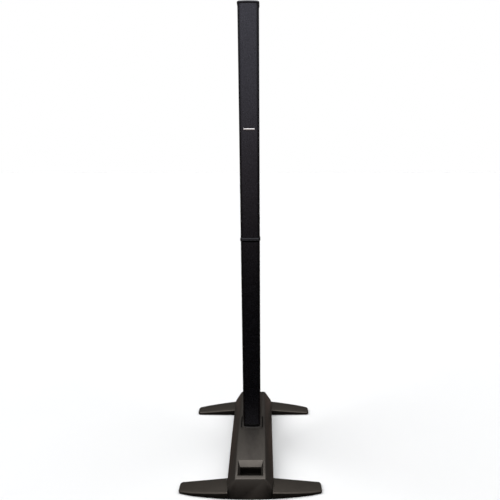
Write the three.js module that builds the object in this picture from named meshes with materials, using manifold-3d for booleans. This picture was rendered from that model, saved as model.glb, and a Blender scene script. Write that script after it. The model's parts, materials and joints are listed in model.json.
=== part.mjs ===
// Column PA system: a power base with four swing-out legs and a two-section column loudspeaker.
// Millimetres, +Z up, the front faces -Y, the floor is z = 0 and the base is centred on the origin.
import * as THREE from "three";
import { mergeVertices } from "three/addons/utils/BufferGeometryUtils.js";
import { ConvexGeometry } from "three/addons/geometries/ConvexGeometry.js";
import Module from "manifold-3d";

const wasm = await Module();
wasm.setup();

// ---------------------------------------------------------------- driving dimensions
const GAP = 0.3; // clearance between pieces that touch

// base body
const BASE_HALF_WIDTH = 109; // at the shoulder and below it
const TOP_HALF_WIDTH = 71.5;
const TOP_TAPER = 1; // the top face is this much narrower at the rear and wider at the front
const SHOULDER = 0.49; // shoulder height as a share of the top height
const BODY_BOTTOM = 3;
const TOP_REAR = 291; // rear edge of the top face
const REAR_SHOULDER = 18; // the rear corners of the shoulder stand this far behind the top face
const NOSE_TIP = 340.5; // furthest reach of the nose along Y, both ends
const END_ARC_RADIUS = 1850; // plan radius of the front and rear outer edge
const SIDE_END = 290; // the sides are upright up to here, both ends
// top line of the body from rear to front: [y, z]
const TOP_LINE = [
  [TOP_REAR, 133], [-37, 133], [-97, 126], [-157, 116.5], [-218.5, 104], [-267, 92.5], [-308, 81.5],
];
const WALL = 4;
const TOP_WALL = 9;
const CAVITY_FRONT = -204;
const CAVITY_REAR = 282;
const CAVITY_LEAN = 18; // how much further back the cavity reaches at its foot
const SPINE_HALF_WIDTH = 53; // the part of the body between the leg channels
const CHANNEL_TOP = 40.5;
const CHANNEL_END = 283.5;

// carry handle in the sloping front of the body
const GRIP = {
  rear: -218.5, front: -292, halfTop: 60.5, halfLow: 50, lipLow: -240, lipDrop: 20, lipThick: 9,
  floor: 28, under: -307, barLow: 64,
};

// deck plate and column socket
const DECK = { half: 53.6, front: -32, rear: 285.6, corner: 13, thick: 2.8, groove: 2.4, grooveDepth: 5 };
// slots beside the socket, part of the groove round the deck
const SIDE_SLOT = { width: 4.9, front: -23, rear: 65, depth: 7.5 };
const COLUMN_Y = 25; // centre of the column, behind the middle of the base
const PLUG = { half: 31, depth: 58, long: 33 };
const SOCKET_WALL = 4;
const RIM = { half: 49.5, front: 6.9, top: 137 }; // raised rim round the foot; front is beyond the column's
const FOOT_CLEARANCE = { side: 1.7, front: 3.8 }; // between the foot and the rim

// legs
const PIVOT = { x: 96, y: 290 };
const LEG = {
  tip: 335.5, inner: 252.5, innerRoot: 249.5, root: 104, rootHeight: 35.5, tipHeight: 14.5, bottom: 3, bevel: 4,
};
const KNUCKLE_RADIUS = 13;
const PIN_RADIUS = 4;
const PAD = { long: 58, wide: 20, thick: 2.7, centre: 300, fromInner: 22 };

// column
const COLUMN = { half: 45.5, front: -50, back: 50, bulge: 3, corner: 12 };
const FOOT = { z0: 135.3, z1: 150, half: 42, front: -0.5 };
const JOINT_Z = 1148; // where the two sections meet
const COLLAR = { height: 10, grow: 2.3, ease: 1.2, easeIn: 0.7 }; // the two collars swell towards the seam
const TOP_Z = 2166;
const CAP_HEIGHT = 12;
const SKIN = 1.6; // grille thickness
const DRIVERS = 12; // in each section
const DRIVER_PITCH = 81;
const DRIVER_RADIUS = 28;
const BADGE = { half: 24.7, height: 7, z: 1650, thick: 1.4 };

// rear connector panel, in its own plane
const PANEL = { half: 53, tall: 42, thick: 3, z: 68 };

// ---------------------------------------------------------------- helpers
const V3 = (x, y, z) => new THREE.Vector3(x, y, z);
const V2 = (x, y) => new THREE.Vector2(x, y);

function solid(geometry) {
  const g = geometry.clone();
  g.deleteAttribute("normal");
  g.deleteAttribute("uv");
  const m = mergeVertices(g, 1e-4);
  const vertProperties = m.attributes.position.array;
  const triVerts = new Uint32Array(m.index.array);
  return new wasm.Manifold(new wasm.Mesh({ numProp: 3, vertProperties, triVerts }));
}

function geometryOf(manifold) {
  const mesh = manifold.getMesh();
  const g = new THREE.BufferGeometry();
  g.setAttribute("position", new THREE.BufferAttribute(new Float32Array(mesh.vertProperties), 3));
  g.setIndex(new THREE.BufferAttribute(new Uint32Array(mesh.triVerts), 1));
  const flat = g.toNonIndexed();
  flat.computeVertexNormals();
  return flat;
}

const union = (first, ...rest) => geometryOf(rest.reduce((a, g) => a.add(solid(g)), solid(first)));
const cut = (first, ...rest) => geometryOf(rest.reduce((a, g) => a.subtract(solid(g)), solid(first)));
const common = (first, ...rest) => geometryOf(rest.reduce((a, g) => a.intersect(solid(g)), solid(first)));
const hull = (points) => new ConvexGeometry(points);

// A box between two corners.
function box(x0, x1, y0, y1, z0, z1) {
  const g = new THREE.BoxGeometry(x1 - x0, y1 - y0, z1 - z0);
  return g.translate((x0 + x1) / 2, (y0 + y1) / 2, (z0 + z1) / 2);
}

// An upright cylinder from z0 to z1.
function post(radius, z0, z1, x = 0, y = 0, sides = 20) {
  return new THREE.CylinderGeometry(radius, radius, z1 - z0, sides)
    .rotateX(Math.PI / 2)
    .translate(x, y, (z0 + z1) / 2);
}

// A closed outline in the XY plane, raised from z0 to z1.
function prism(outline, z0, z1) {
  const shape = new THREE.Shape(outline);
  return new THREE.ExtrudeGeometry(shape, { depth: z1 - z0, bevelEnabled: false }).translate(0, 0, z0);
}

// A turned part around +Z; the profile is [radius, z] pairs from the axis round to the axis.
function turned(profile, sides = 16) {
  return new THREE.LatheGeometry(profile.map(([r, z]) => V2(r, z)), sides).rotateX(Math.PI / 2);
}

// Rounded rectangle outline.
function roundedRect(x0, x1, y0, y1, r, steps = 4) {
  const points = [];
  const corners = [[x1 - r, y1 - r, 0], [x0 + r, y1 - r, 1], [x0 + r, y0 + r, 2], [x1 - r, y0 + r, 3]];
  for (const [cx, cy, q] of corners)
    for (let i = 0; i <= steps; i++) {
      const a = (q + i / steps) * (Math.PI / 2);
      points.push(V2(cx + r * Math.cos(a), cy + r * Math.sin(a)));
    }
  return points;
}

const mirrorX = (points) => points.map((p) => V2(-p.x, p.y)).reverse();

// ---------------------------------------------------------------- group and materials
const root = new THREE.Group();
root.name = "column_pa_system";

const FINISH = {
  housing: { color: 0x26262a, roughness: 0.6, metalness: 0.0 },
  grille: { color: 0x2c2c31, roughness: 0.5, metalness: 0.3 },
  shell: { color: 0x45443f, roughness: 0.62, metalness: 0.0 },
  leg: { color: 0x3c3934, roughness: 0.6, metalness: 0.0 },
  rubber: { color: 0x151515, roughness: 0.9, metalness: 0.0 },
  steel: { color: 0xb4b6ba, roughness: 0.35, metalness: 0.9 },
  panel: { color: 0x1b1b1c, roughness: 0.5, metalness: 0.2 },
  gloss: { color: 0x121213, roughness: 0.3, metalness: 0.0 },
  badge: { color: 0xd4d4d8, roughness: 0.3, metalness: 0.8 },
  board: { color: 0x1f4a2c, roughness: 0.7, metalness: 0.0 },
  supply: { color: 0x9a9c9e, roughness: 0.45, metalness: 0.7 },
  cone: { color: 0x1c1c1e, roughness: 0.85, metalness: 0.0 },
};

function piece(name, geometry, finish) {
  const g = geometry.index ? geometry.toNonIndexed() : geometry;
  g.computeVertexNormals();
  const mesh = new THREE.Mesh(g, new THREE.MeshStandardMaterial(FINISH[finish]));
  mesh.name = name;
  root.add(mesh);
  return mesh;
}

// ---------------------------------------------------------------- base body
const arcY = (x) => NOSE_TIP - (x * x) / (2 * END_ARC_RADIUS);

function topAt(y) {
  for (let i = 1; i < TOP_LINE.length; i++) {
    const [y0, z0] = TOP_LINE[i - 1];
    const [y1, z1] = TOP_LINE[i];
    if (y >= y1) return z1 + ((z0 - z1) * (y - y1)) / (y0 - y1);
  }
  return TOP_LINE.at(-1)[1];
}

// Half section of the body: top flat, rounded edge, sloping side, shoulder, upright side.
function bodySection(y, zt, inset = 0) {
  const zs = zt * SHOULDER;
  const w = BASE_HALF_WIDTH - inset;
  const t = TOP_HALF_WIDTH - TOP_TAPER * (y / TOP_REAR);
  return [
    [t - 9, zt], [t - 2, zt - 1.4], [t + 3.5, zt - 6.5],
    [w - 3.5, zs + 5], [w, zs - 2], [w, BODY_BOTTOM],
  ].flatMap(([x, z]) => [V3(x, y, z), V3(-x, y, z)]);
}

const bodyPoints = TOP_LINE.flatMap(([y, z], i) => {
  const end = i === 0 || i === TOP_LINE.length - 1;
  if (!end) return bodySection(y, z);
  // the end sections stop at the shoulder; the nose below them reaches the end arc
  const points = bodySection(y, z, 3).filter((p) => p.z > BODY_BOTTOM);
  const shoulder = points.filter((p) => i === 0 && p.z < z * SHOULDER);
  return [...points, ...shoulder.map((p) => V3(p.x, y + REAR_SHOULDER, p.z))];
});
for (const side of [-1, 1]) {
  bodyPoints.push(...bodySection(side * SIDE_END, topAt(side * SIDE_END)));
  for (const x of [-102.5, -50, 0, 50, 102.5]) bodyPoints.push(V3(x, side * arcY(x), BODY_BOTTOM));
}
const bodyHull = hull(bodyPoints);

// Inside of the body: above the leg channels it is wide, below them only as wide as the spine.
const inner = [];
for (const y of [CAVITY_REAR, -37, -97, -157, CAVITY_FRONT]) {
  const z = topAt(y);
  const rear = y === CAVITY_REAR;
  const back = rear ? CAVITY_LEAN : 0;
  const half = BASE_HALF_WIDTH - (rear ? 12 : 6);
  for (const s of [-1, 1])
    inner.push(
      V3(s * (TOP_HALF_WIDTH - 6.5), y, z - TOP_WALL), V3(s * half, y + back / 2, z * SHOULDER - 3),
      V3(s * half, y + back, CHANNEL_TOP + WALL),
    );
}
const cavityHigh = hull(inner);
const spineInner = SPINE_HALF_WIDTH - WALL;
const cavityLow = box(
  -spineInner, spineInner, CAVITY_FRONT, CAVITY_REAR + CAVITY_LEAN, -1, CHANNEL_TOP + WALL + 1,
);

// Carry handle: a funnel from the top outline to a pocket that runs forward under the grip bar and back
// under the slanted lip.
const gripTopZ = (y) => topAt(y) + 0.01;
const funnel = hull([-1, 1].flatMap((s) => [
  V3(s * GRIP.halfTop, GRIP.rear, gripTopZ(GRIP.rear)),
  V3(s * GRIP.halfTop, GRIP.front, gripTopZ(GRIP.front)),
  V3(s * GRIP.halfTop, GRIP.rear, gripTopZ(GRIP.rear) + 30),
  V3(s * GRIP.halfTop, GRIP.front, gripTopZ(GRIP.front) + 30),
  V3(s * GRIP.halfLow, GRIP.lipLow, gripTopZ(GRIP.rear) - GRIP.lipDrop),
  V3(s * GRIP.halfLow, GRIP.front, gripTopZ(GRIP.front) - GRIP.lipDrop),
]));
const pocketTop = gripTopZ(GRIP.lipLow) - GRIP.lipDrop / 2;
const pocket = box(-GRIP.halfLow, GRIP.halfLow, GRIP.front, GRIP.lipLow, GRIP.floor, pocketTop);
const underBar = box(-GRIP.halfLow, GRIP.halfLow, GRIP.under, GRIP.front + 1, GRIP.floor, GRIP.barLow);
const underLip = box(
  -GRIP.halfLow, GRIP.halfLow, GRIP.lipLow - 1, GRIP.rear - 0.5, GRIP.floor,
  gripTopZ(GRIP.rear) - GRIP.lipDrop - GRIP.lipThick,
);

// Deck recess with a deeper groove round the deck, widened beside the socket, and the socket's hole.
const DECK_Z = TOP_LINE[0][1];
const deckOutline = (grow) =>
  roundedRect(-DECK.half - grow, DECK.half + grow, DECK.front - grow, DECK.rear + grow, DECK.corner + grow, 5);
const deckRecess = prism(deckOutline(0.1), DECK_Z - DECK.thick - GAP, 150);
const deckGroove = cut(
  prism(deckOutline(DECK.groove), DECK_Z - DECK.grooveDepth, 150),
  prism(deckOutline(0), 120, 160),
);
const sideSlots = [-1, 1].map((s) => {
  const xs = [s * DECK.half, s * (DECK.half + SIDE_SLOT.width)].sort((a, b) => a - b);
  return prism(roundedRect(...xs, SIDE_SLOT.front, SIDE_SLOT.rear, 2.2, 3), DECK_Z - SIDE_SLOT.depth, 150);
});
const socketHalf = PLUG.half + GAP + SOCKET_WALL;
const socketLong = PLUG.long + GAP + SOCKET_WALL;
const socketBottom = FOOT.z0 - PLUG.depth - 5;
const socketHole = box(
  -socketHalf - GAP, socketHalf + GAP, COLUMN_Y - socketLong - GAP, COLUMN_Y + socketLong + GAP, 100, 150,
);

// The rear face leans forward; everything on it is placed in its own plane.
const rearSlope = Math.atan2(NOSE_TIP - TOP_REAR, DECK_Z - BODY_BOTTOM);
const rearUp = V3(0, -Math.sin(rearSlope), Math.cos(rearSlope));
const rearOut = V3(0, Math.cos(rearSlope), Math.sin(rearSlope));
const rearFrame = new THREE.Matrix4()
  .makeBasis(V3(-1, 0, 0), rearUp, rearOut)
  .setPosition(0, TOP_REAR + (DECK_Z - PANEL.z) * Math.tan(rearSlope), PANEL.z);
const onRear = (geometry, x = 0, v = 0, out = 0) => geometry.translate(x, v, out).applyMatrix4(rearFrame);

const panelOutline = (grow, corner) =>
  roundedRect(-PANEL.half - grow, PANEL.half + grow, -PANEL.tall - grow, PANEL.tall + grow, corner);
const panelRecess = onRear(prism(panelOutline(1, 5), -4.5, 20));
const panelWindow = onRear(prism(panelOutline(-2, 3), -40, 20));

// Leg channels along both sides, root pockets at the corners and knuckle pockets round the pivots.
const clearance = [];
for (const sx of [-1, 1]) {
  const span = (a, b) => [Math.min(sx * a, sx * b), Math.max(sx * a, sx * b)];
  clearance.push(box(...span(SPINE_HALF_WIDTH, 140), -CHANNEL_END, CHANNEL_END, -1, CHANNEL_TOP));
  for (const sy of [-1, 1]) {
    const ys = [sy * (CHANNEL_END - 1), sy * (NOSE_TIP + 10)].sort((a, b) => a - b);
    clearance.push(box(...span(LEG.root - 0.8, 140), ...ys, -1, CHANNEL_TOP));
    clearance.push(post(KNUCKLE_RADIUS + 3.6, -1, CHANNEL_TOP, sx * PIVOT.x, sy * PIVOT.y, 28));
    clearance.push(post(PIN_RADIUS + GAP, 0, 51, sx * PIVOT.x, sy * PIVOT.y, 20));
  }
}

piece(
  "base_shell",
  cut(
    bodyHull, cavityHigh, cavityLow, funnel, pocket, underBar, underLip, deckRecess, deckGroove, ...sideSlots,
    socketHole, panelRecess, panelWindow, ...clearance,
  ),
  "shell",
);

// Bottom plate with two rows of vent slots, closing the spine.
const slots = [];
for (let i = 0; i < 8; i++)
  for (const x of [-22, 22]) slots.push(box(x - 15, x + 15, -120 + i * 42, -114 + i * 42, 0, 10));
piece(
  "base_bottom_plate",
  cut(
    box(
      -spineInner + GAP, spineInner - GAP, CAVITY_FRONT + GAP, CAVITY_REAR + CAVITY_LEAN - GAP,
      BODY_BOTTOM, BODY_BOTTOM + 2.5,
    ),
    ...slots,
  ),
  "panel",
);

// ---------------------------------------------------------------- deck and socket
piece("deck_plate", cut(prism(deckOutline(0), DECK_Z - DECK.thick, DECK_Z), socketHole), "shell");

// Column outline, local to the column's centre: gently bowed front, rounded corners, tapered back.
function frontCurve(half, front, corner, bulge, steps = 5) {
  const points = [];
  for (let i = 0; i <= steps; i++) {
    const a = (i / steps) * (Math.PI / 2);
    const y = front + bulge + (corner - 1) * (1 - Math.sin(a));
    points.push(V2(half - corner + corner * Math.cos(a), y));
  }
  const flat = half - corner;
  for (let i = 1; i < 6; i++) {
    const x = flat * (1 - i / 3);
    points.push(V2(x, front + bulge * (x / flat) ** 2));
  }
  return [...points, ...mirrorX(points.slice(0, steps + 1))];
}

function backCurve(half, back) {
  return [
    V2(-half, -8), V2(-half, 8), V2(-half + 5, 32), V2(-half + 17, back - 4), V2(-half + 27, back),
    V2(half - 27, back), V2(half - 17, back - 4), V2(half - 5, 32), V2(half, 8), V2(half, -8),
  ];
}

// Full outline of the column grown outward by the given amount, and by another one at the front.
function columnOutline(grow, frontGrow = grow) {
  const front = frontCurve(COLUMN.half + grow, COLUMN.front - frontGrow, COLUMN.corner + grow, COLUMN.bulge);
  const outline = [...front, ...backCurve(COLUMN.half + grow, COLUMN.back + grow)];
  return outline.map((p) => V2(p.x, p.y + COLUMN_Y));
}

const footGrow = FOOT.half - COLUMN.half;
const plugBox = (grow, z0, z1) =>
  box(-PLUG.half - grow, PLUG.half + grow, COLUMN_Y - PLUG.long - grow, COLUMN_Y + PLUG.long + grow, z0, z1);
piece(
  "column_socket",
  cut(
    union(
      plugBox(GAP + SOCKET_WALL, socketBottom, DECK_Z + 1),
      prism(columnOutline(RIM.half - COLUMN.half, RIM.front), DECK_Z + GAP, RIM.top),
    ),
    prism(columnOutline(footGrow + FOOT_CLEARANCE.side, FOOT.front + FOOT_CLEARANCE.front), FOOT.z0 - GAP, 150),
    plugBox(GAP, socketBottom + 4, 150),
  ),
  "shell",
);

// ---------------------------------------------------------------- legs, pins and pads
function leg(sx, sy) {
  const name = `leg_${sy < 0 ? "front" : "rear"}_${sx < 0 ? "left" : "right"}`;
  // plan outline of the blade, drawn for +X and the outer edge on +Y
  const outline = (inset) => {
    const points = [V2(LEG.root + inset * 0.2, LEG.innerRoot + inset)];
    points.push(V2(LEG.root + inset * 0.2, arcY(LEG.root) - inset));
    for (const x of [160, 220, 280]) points.push(V2(x, arcY(x) - inset));
    const r = 13;
    const cx = LEG.tip - r;
    const outer = arcY(LEG.tip) - r;
    for (let i = 0; i <= 4; i++) {
      const a = Math.PI / 2 - (i / 4) * (Math.PI / 2);
      points.push(V2(cx + (r - inset) * Math.cos(a), outer + (r - inset) * Math.sin(a)));
    }
    for (let i = 0; i <= 4; i++) {
      const a = -(i / 4) * (Math.PI / 2);
      points.push(V2(cx + (r - inset) * Math.cos(a), LEG.inner + r + (r - inset) * Math.sin(a)));
    }
    return points;
  };
  const heightAt = (x) =>
    LEG.rootHeight + ((LEG.tipHeight - LEG.rootHeight) * (x - LEG.root)) / (LEG.tip - LEG.root);
  const points = [];
  for (const p of outline(0)) {
    points.push(V3(sx * p.x, sy * p.y, LEG.bottom));
    points.push(V3(sx * p.x, sy * p.y, heightAt(p.x) - LEG.bevel));
  }
  for (const p of outline(LEG.bevel)) points.push(V3(sx * p.x, sy * p.y, heightAt(p.x)));
  const xs = [sx * PIVOT.x, sx * (LEG.root + 6)].sort((a, b) => a - b);
  const bridge = box(...xs, sy * PIVOT.y - KNUCKLE_RADIUS + 1, sy * PIVOT.y + KNUCKLE_RADIUS - 1, 6.5, 31);
  const knuckle = post(KNUCKLE_RADIUS, 6.5, 31, sx * PIVOT.x, sy * PIVOT.y, 20);
  const hole = post(PIN_RADIUS + GAP, 0, 50, sx * PIVOT.x, sy * PIVOT.y, 20);
  piece(name, cut(union(hull(points), knuckle, bridge), hole), "leg");

  // The pin hangs in the body and carries the knuckle on its head.
  const pin = turned([[0, 3.2], [8, 3.2], [8, 6.1], [PIN_RADIUS, 6.1], [PIN_RADIUS, 50], [0, 50]], 20);
  piece(`pin_${name.slice(4)}`, pin.translate(sx * PIVOT.x, sy * PIVOT.y, 0), "steel");

  const padHalf = [PAD.long / 2, PAD.wide / 2];
  const pad = prism(roundedRect(-padHalf[0], padHalf[0], -padHalf[1], padHalf[1], 8, 3), 0, PAD.thick);
  piece(`pad_${name.slice(4)}`, pad.translate(sx * PAD.centre, sy * (LEG.inner + PAD.fromInner), 0), "rubber");
}
for (const sy of [-1, 1]) for (const sx of [-1, 1]) leg(sx, sy);

// ---------------------------------------------------------------- connector panel
const INLET = { x: -36, v: -17, w: 13.5, h: 10 };
const ROCKER = { x: -36, v: 17, w: 6, h: 9.5, tilt: 8 };
const COMBOS = [[-3, 20], [-3, -20]];
const SPEAKER_OUT = [34, -22];
const LINE_OUT = [40, 20];
const KNOBS = [[20, 29], [20, 9]];

const opening = ({ x, v, w, h }, growX, growV) =>
  box(x - w - growX, x + w + growX, v - h - growV, v + h + growV, -10, 5);
const panelHoles = [
  opening(INLET, GAP, GAP),
  opening(ROCKER, 0.5, 1),
  ...COMBOS.map(([x, v]) => post(12 + GAP, -10, 5, x, v, 20)),
  post(12 + GAP, -10, 5, ...SPEAKER_OUT, 20),
  post(5 + GAP, -10, 5, ...LINE_OUT, 16),
  ...KNOBS.map(([x, v]) => post(3 + GAP, -10, 5, x, v, 12)),
];
const panelFace = -1; // the panel sits a little below the body's rear face
const panelSheet = cut(prism(panelOutline(0, 4), -PANEL.thick, 0), ...panelHoles);
piece("connector_panel", onRear(panelSheet, 0, 0, panelFace), "panel");

// Mains inlet: a flanged block with a blind cavity and three blades.
const inletBody = union(
  box(-INLET.w, INLET.w, -INLET.h, INLET.h, -22, 1),
  prism(roundedRect(-INLET.w - 1.5, INLET.w + 1.5, -INLET.h - 1.5, INLET.h + 1.5, 2, 2), GAP, 2.2),
);
const inletOutline = [V2(-11.5, -8), V2(11.5, -8), V2(11.5, 4.5), V2(7.5, 8), V2(-7.5, 8), V2(-11.5, 4.5)];
const inletCavity = prism(inletOutline, -16, 5);
const blades = [-7, 0, 7].map((x) => box(x - 1, x + 1, x === 0 ? 0 : -4, x === 0 ? 4 : 0, -18, -3));
const inlet = union(cut(inletBody, inletCavity), ...blades);
piece("mains_inlet", onRear(inlet, INLET.x, INLET.v, panelFace), "gloss");

// Power rocker: a paddle with two slightly sloped halves, resting tilted to its off side.
const paddle = new THREE.ExtrudeGeometry(
  new THREE.Shape([V2(-9.2, -5), V2(9.2, -5), V2(9.5, 3.4), V2(0, 2), V2(-9.5, 3.4)]),
  { depth: 2 * ROCKER.w, bevelEnabled: false },
)
  .translate(0, 0, -ROCKER.w)
  .rotateY(Math.PI / 2)
  .rotateX(Math.PI / 2)
  .rotateX(THREE.MathUtils.degToRad(-ROCKER.tilt));
piece("power_rocker", onRear(paddle, ROCKER.x, ROCKER.v, panelFace - 1), "gloss");

// Round sockets: flange, body and a stepped recess.
const COMBO_PROFILE = [
  [0, -26], [11.6, -26], [12, -2], [12, GAP], [14.5, GAP], [14.5, 2],
  [9.6, 2], [9.3, -11], [3.3, -11], [3.3, -22], [0, -22],
];
const combo = () => turned(COMBO_PROFILE, 20);
COMBOS.forEach(([x, v], i) => piece(`combo_input_${i + 1}`, onRear(combo(), x, v, panelFace), "gloss"));
const SPEAKER_PROFILE = [
  [0, -24], [12, -24], [12, GAP], [14, GAP], [14, 2.4],
  [10.4, 2.4], [10.4, -14], [5.2, -14], [5.2, -1], [0, -1],
];
const speakerOut = turned(SPEAKER_PROFILE, 20);
piece("speaker_output", onRear(speakerOut, ...SPEAKER_OUT, panelFace), "gloss");
const LINE_PROFILE = [[0, -22], [5, -22], [5, GAP], [7.2, GAP], [7.2, 3], [3.3, 3], [3.3, -18], [0, -18]];
const lineOut = turned(LINE_PROFILE, 16);
piece("line_output", onRear(lineOut, ...LINE_OUT, panelFace), "steel");

// Trim knobs with a pointer flat milled in the cap.
KNOBS.forEach(([x, v], i) => {
  const cap = turned([[0, -9], [3, -9], [3, 1], [6.6, 1], [6.2, 11], [5.4, 12], [0, 12]], 20);
  const groove = box(-0.8, 0.8, 1.5, 8, 11, 14);
  piece(`trim_knob_${i + 1}`, onRear(cut(cap, groove), x, v, panelFace), "rubber");
});

// ---------------------------------------------------------------- electronics inside the body
const parts = [
  box(-64, 64, 108, 268, 50, 52), box(-52, -30, 130, 170, 51, 82), box(-22, 8, 120, 162, 51, 76),
  box(20, 54, 124, 180, 51, 70), box(-50, 40, 196, 214, 51, 90), box(30, 52, 220, 256, 51, 64),
  post(9, 51, 80, -20, 182, 12), post(9, 51, 80, 4, 182, 12),
];
piece("amplifier_board", union(...parts), "board");
const finned = [box(-60, 60, -190, -44, 48, 92)];
for (let i = 0; i < 7; i++) finned.push(box(-54 + i * 18, -49 + i * 18, -176, -56, 91, 100));
piece("power_supply", union(...finned), "supply");

// ---------------------------------------------------------------- column sections
const yc = COLUMN_Y;
const shellInner = (grow) => [
  V2(COLUMN.half - 5.5 - grow, -30 + grow), V2(COLUMN.half - 4 - grow, -8), V2(COLUMN.half - 4 - grow, 8),
  V2(COLUMN.half - 9 - grow, 30), V2(20, COLUMN.back - 4 - grow), V2(-20, COLUMN.back - 4 - grow),
  V2(-COLUMN.half + 9 + grow, 30), V2(-COLUMN.half + 4 + grow, 8), V2(-COLUMN.half + 4 + grow, -8),
  V2(-COLUMN.half + 5.5 + grow, -30 + grow),
].map((p) => V2(p.x, p.y + yc));

// Housing outline: two cheeks reach forward beside the grille, with the baffle set back between them.
const BAFFLE = -34.5;
const CHEEK = { front: -38.5, thick: 2.4 };
const housingOutline = () => {
  const w = COLUMN.half;
  const inside = w - CHEEK.thick;
  const front = [
    V2(-w, CHEEK.front + 1.6), V2(-w + 0.9, CHEEK.front + 0.3), V2(-inside, CHEEK.front), V2(-inside, BAFFLE),
    V2(inside, BAFFLE), V2(inside, CHEEK.front), V2(w - 0.9, CHEEK.front + 0.3), V2(w, CHEEK.front + 1.6),
  ];
  return [...front, ...backCurve(w, COLUMN.back).reverse()].map((p) => V2(p.x, p.y + yc));
};

function driverHeights(z0, z1) {
  const first = (z0 + z1) / 2 - ((DRIVERS - 1) / 2) * DRIVER_PITCH;
  return Array.from({ length: DRIVERS }, (_, i) => first + i * DRIVER_PITCH);
}

// One small driver facing -Y: magnet, basket, flange, cone and dust cap.
const DRIVER_PROFILE = [
  [0, -28], [13, -28], [13, -13], [23.8, -0.2], [DRIVER_RADIUS, 0], [DRIVER_RADIUS, 2],
  [22.5, 1.4], [8, -7], [0, -4.5],
];
const driver = (z) => turned(DRIVER_PROFILE, 12).rotateX(Math.PI / 2).translate(0, yc + BAFFLE - GAP, z);

// The grille: a thin bowed sheet between the cheeks, its edges stopping just short of the baffle.
const GRILLE_HALF = COLUMN.half - CHEEK.thick - 1;
function grille(z0, z1) {
  const outer = frontCurve(GRILLE_HALF, COLUMN.front, COLUMN.corner - 3, COLUMN.bulge);
  const thin = frontCurve(GRILLE_HALF - SKIN, COLUMN.front + SKIN, COLUMN.corner - 3 - SKIN, COLUMN.bulge);
  const edge = BAFFLE - GAP;
  const ring = [V2(GRILLE_HALF, edge), ...outer, V2(-GRILLE_HALF, edge), V2(-GRILLE_HALF + SKIN, edge)]
    .concat([...thin].reverse(), [V2(GRILLE_HALF - SKIN, edge)]);
  return prism(ring.map((p) => V2(p.x, p.y + yc)), z0, z1);
}

function section(name, z0, z1) {
  const heights = driverHeights(z0, z1);
  const holes = heights.map((z) =>
    new THREE.CylinderGeometry(25, 25, 12, 12).translate(0, yc - 32, z));
  const tube = cut(prism(housingOutline(), z0, z1), prism(shellInner(0), z0 - 1, z1 + 1), ...holes);
  piece(`${name}_housing`, tube, "housing");
  piece(`${name}_grille`, grille(z0 + 1, z1 - 1), "grille");
  heights.forEach((z, i) => piece(`${name}_driver_${String(i + 1).padStart(2, "0")}`, driver(z), "cone"));
}

const lower = { z0: FOOT.z1 + GAP, z1: JOINT_Z - COLLAR.height - GAP };
const upper = { z0: JOINT_Z + GAP + COLLAR.height + GAP, z1: TOP_Z - CAP_HEIGHT - GAP };
section("lower", lower.z0, lower.z1);
section("upper", upper.z0, upper.z1);

const columnRing = (grow, z) => columnOutline(grow).map((p) => V3(p.x, p.y, z));

// One half of the bulge round the joint: it swells from its far end to the seam, whose edge is eased.
function collar(far, seam) {
  const eased = seam + Math.sign(far - seam) * COLLAR.ease;
  const edge = COLLAR.grow - COLLAR.easeIn;
  return hull([...columnRing(0.2, far), ...columnRing(COLLAR.grow, eased), ...columnRing(edge, seam)]);
}

// Foot of the lower section with the plug that drops into the base.
piece(
  "lower_foot_plug",
  union(
    prism(columnOutline(footGrow, FOOT.front), FOOT.z0, FOOT.z1),
    plugBox(0, FOOT.z0 - PLUG.depth, FOOT.z0 + 1),
    prism(shellInner(GAP), FOOT.z1 - 1, FOOT.z1 + 9),
  ),
  "housing",
);

// Head of the lower section: collar, spigot into the housing and the tongue that carries the upper section.
const TONGUE = { half: 26, long: 28, tall: 30 };
const tongueBox = (grow, z0, z1) =>
  box(-TONGUE.half - grow, TONGUE.half + grow, yc - TONGUE.long - grow, yc + TONGUE.long + grow, z0, z1);
piece(
  "lower_head",
  union(
    collar(JOINT_Z - COLLAR.height, JOINT_Z),
    prism(shellInner(GAP), lower.z1 - 9, JOINT_Z - 5),
    tongueBox(0, JOINT_Z - 2, JOINT_Z + TONGUE.tall),
  ),
  "housing",
);
piece(
  "upper_foot_ring",
  cut(
    union(
      collar(JOINT_Z + GAP + COLLAR.height, JOINT_Z + GAP),
      prism(shellInner(GAP), JOINT_Z + 5, upper.z0 + 9),
    ),
    tongueBox(0.5, JOINT_Z - 5, JOINT_Z + 60),
  ),
  "housing",
);

// End cap: flared skirt under a shallow flat dome, with a spigot into the housing.
piece(
  "upper_end_cap",
  union(
    hull([
      ...columnRing(0.4, TOP_Z - CAP_HEIGHT), ...columnRing(1.9, TOP_Z - CAP_HEIGHT + 3),
      ...columnRing(1.4, TOP_Z - 4), ...columnRing(-7, TOP_Z),
    ]),
    prism(shellInner(GAP), upper.z1 - 9, TOP_Z - 8),
  ),
  "housing",
);

// Blank badge that follows the bow of the grille.
const badgeCurve = (out) =>
  [-1, -0.6, -0.2, 0.2, 0.6, 1].map((t) => {
    const x = t * BADGE.half;
    return V2(x, COLUMN.front + COLUMN.bulge * (x / (GRILLE_HALF - COLUMN.corner + 3)) ** 2 - out + yc);
  });
const badgeOutline = [...badgeCurve(GAP + BADGE.thick), ...badgeCurve(GAP).reverse()];
piece("badge", prism(badgeOutline, BADGE.z - BADGE.height / 2, BADGE.z + BADGE.height / 2), "badge");

export default root;
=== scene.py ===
"""Column PA system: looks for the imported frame. Metres, Z up, the front faces -Y."""

import bpy
import bmesh
import json
import math
from mathutils import Matrix, Vector
from mathutils.bvhtree import BVHTree


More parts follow.
